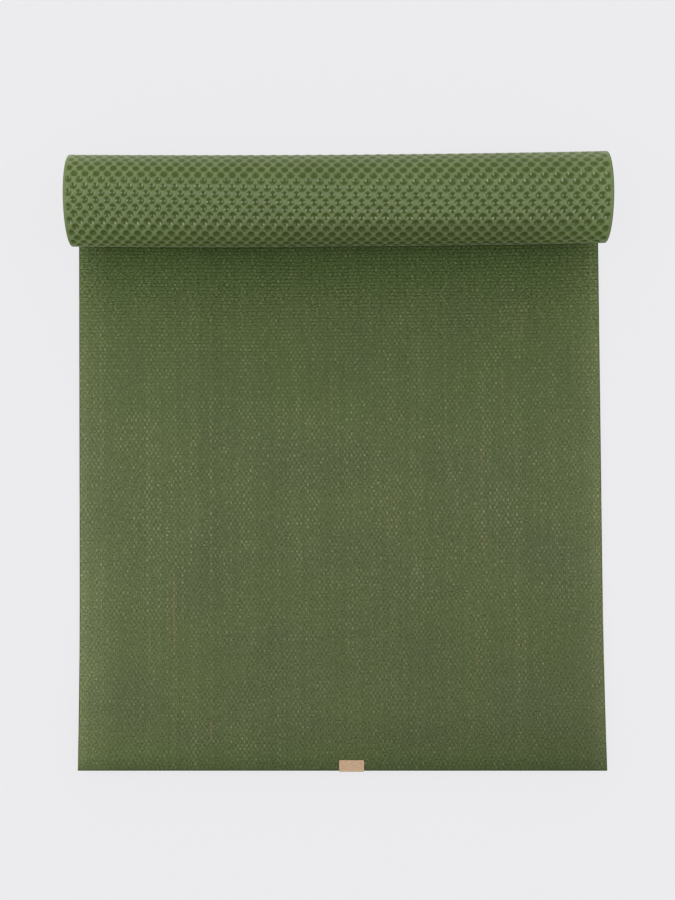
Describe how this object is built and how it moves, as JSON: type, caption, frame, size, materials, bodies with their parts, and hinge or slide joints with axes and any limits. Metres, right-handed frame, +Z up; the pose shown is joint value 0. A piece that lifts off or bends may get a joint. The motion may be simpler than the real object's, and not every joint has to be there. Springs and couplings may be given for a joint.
{
  "type": "jute yoga mat",
  "caption": "Jute yoga mat lying flat with its far end rolled up, woven top, dimpled grip underside outward on the roll, and a bare label folded round the near edge.",
  "frame": {"origin": "middle of the object's outline seen from above, on the floor it lies on", "axes": "+X to the right of someone at the near edge, +Y from the near edge to the roll, +Z up"},
  "size_m": [0.61, 0.71, 0.093],
  "materials": {
    "dyed_jute": "matt woven jute bonded in dyed foam",
    "label_tape": "matt woven tape"
  },
  "bodies": {
    "root": {"mat": "dyed_jute", "label": "label_tape"}
  },
  "joints": []
}
